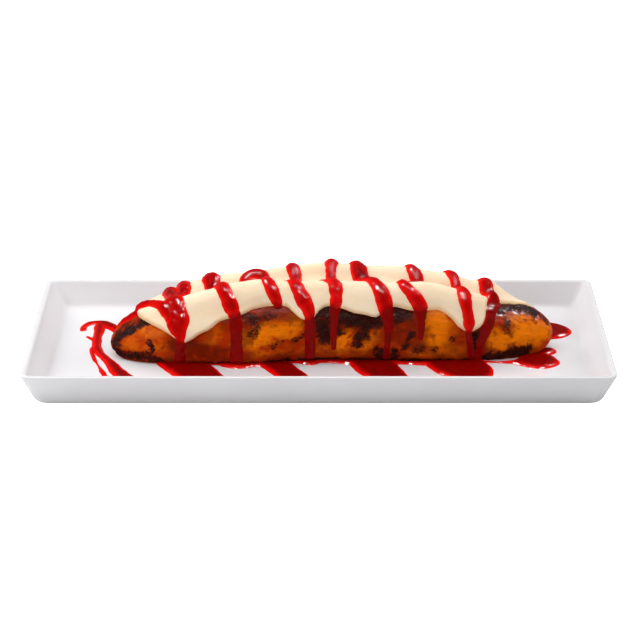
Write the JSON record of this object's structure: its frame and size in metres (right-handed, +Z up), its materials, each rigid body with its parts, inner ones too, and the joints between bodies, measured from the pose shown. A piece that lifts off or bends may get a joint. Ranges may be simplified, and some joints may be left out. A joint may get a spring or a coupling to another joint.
{
  "type": "fried plantain side",
  "caption": "Whole fried plantain, split along its top and covered with cream and red fruit sauce, served in a long white porcelain dish with low sloping walls.",
  "frame": {"origin": "middle of the dish's foot, on the surface it stands on", "axes": "+Z up, +X along the plantain and the dish, -Y towards the diner"},
  "size_m": [0.2996, 0.1276, 0.0477],
  "materials": {
    "porcelain": "smooth white glaze",
    "fried_plantain": "caramelised and charred in places, oily",
    "cream": "soft and smooth, moist",
    "red_sauce": "wet, glossy fruit sauce; only the scene's own sauce pieces use this slot"
  },
  "bodies": {
    "root": {"plate": "porcelain", "plantain": "fried_plantain", "cream_topping": "cream"}
  },
  "joints": []
}
